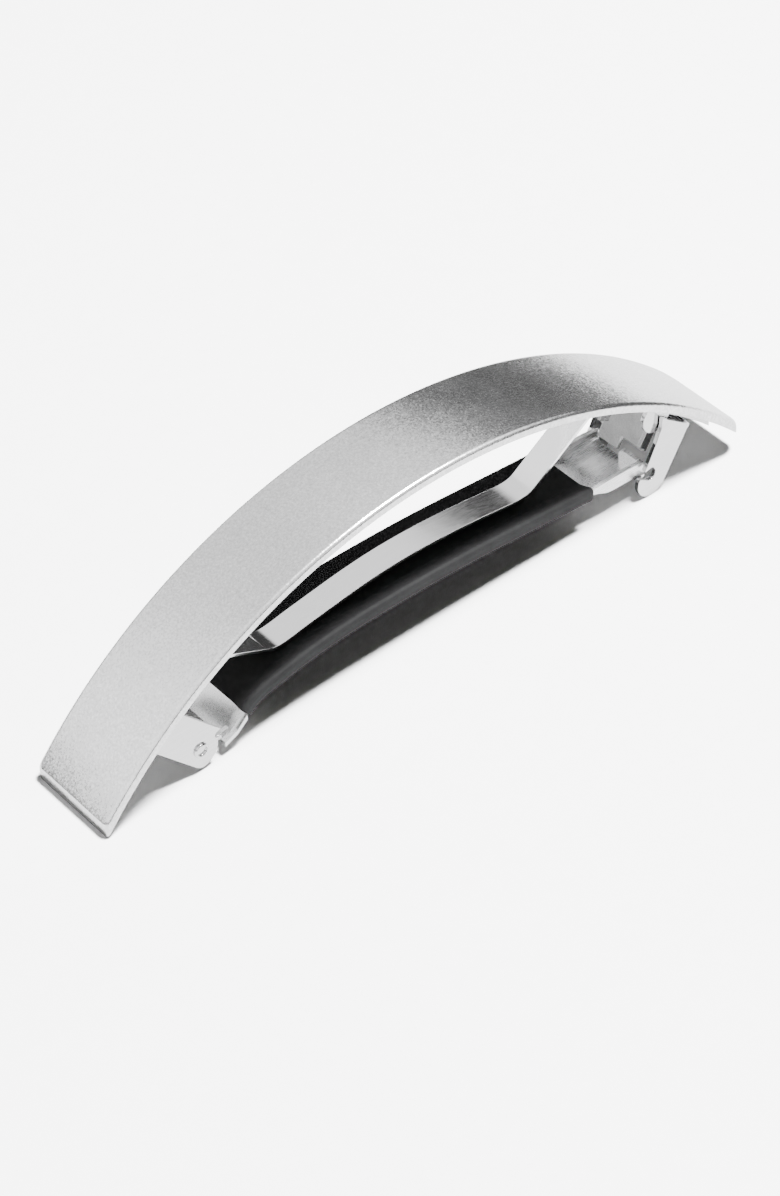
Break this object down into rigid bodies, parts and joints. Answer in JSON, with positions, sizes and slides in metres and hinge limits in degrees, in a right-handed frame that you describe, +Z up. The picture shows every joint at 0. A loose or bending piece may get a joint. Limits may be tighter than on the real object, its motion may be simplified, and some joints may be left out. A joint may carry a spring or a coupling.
{
  "type": "barrette hair clip",
  "caption": "Arched metal barrette with a hinged, rubber-sleeved lower bar, a bowed tension spring and a sprung catch that gathers and holds hair.",
  "frame": {"origin": "middle of the cover on the table plane, at the centre of the bounding box's underside", "axes": "+X along the clip to the catch end, +Y across its width, +Z up out of the arched cover"},
  "size_m": [0.0924, 0.0126, 0.0237],
  "materials": {
    "satin_plate": "fine satin silver plating",
    "polished_nickel": "bright nickel plating",
    "spring_steel": "bright nickel-plated spring steel",
    "solder": "dull soft solder",
    "black_rubber": "satin black moulded rubber"
  },
  "bodies": {
    "cover_and_base": {"cover_plate": "satin_plate", "solder_pad_hinge_end": "solder", "solder_pad_catch_end": "solder", "clip_base": "polished_nickel", "hinge_rivet": "polished_nickel", "tension_spring": "spring_steel"},
    "bar": {"lower_bar": "polished_nickel", "rubber_sleeve": "black_rubber"},
    "catch": {"catch_bracket": "polished_nickel"}
  },
  "joints": [
    {"name": "bar_hinge", "type": "hinge", "parent": "cover_and_base", "child": "bar", "pos_m": [-0.03237, 0, 0.00309], "axis": [0, 1, 0], "range_deg": [0, 100]},
    {"name": "catch_flex", "type": "hinge", "parent": "cover_and_base", "child": "catch", "pos_m": [0.03861, 0, 0.00725], "axis": [0, -1, 0], "range_deg": [0, 16], "stiffness_Nm_per_rad": 0.05}
  ]
}
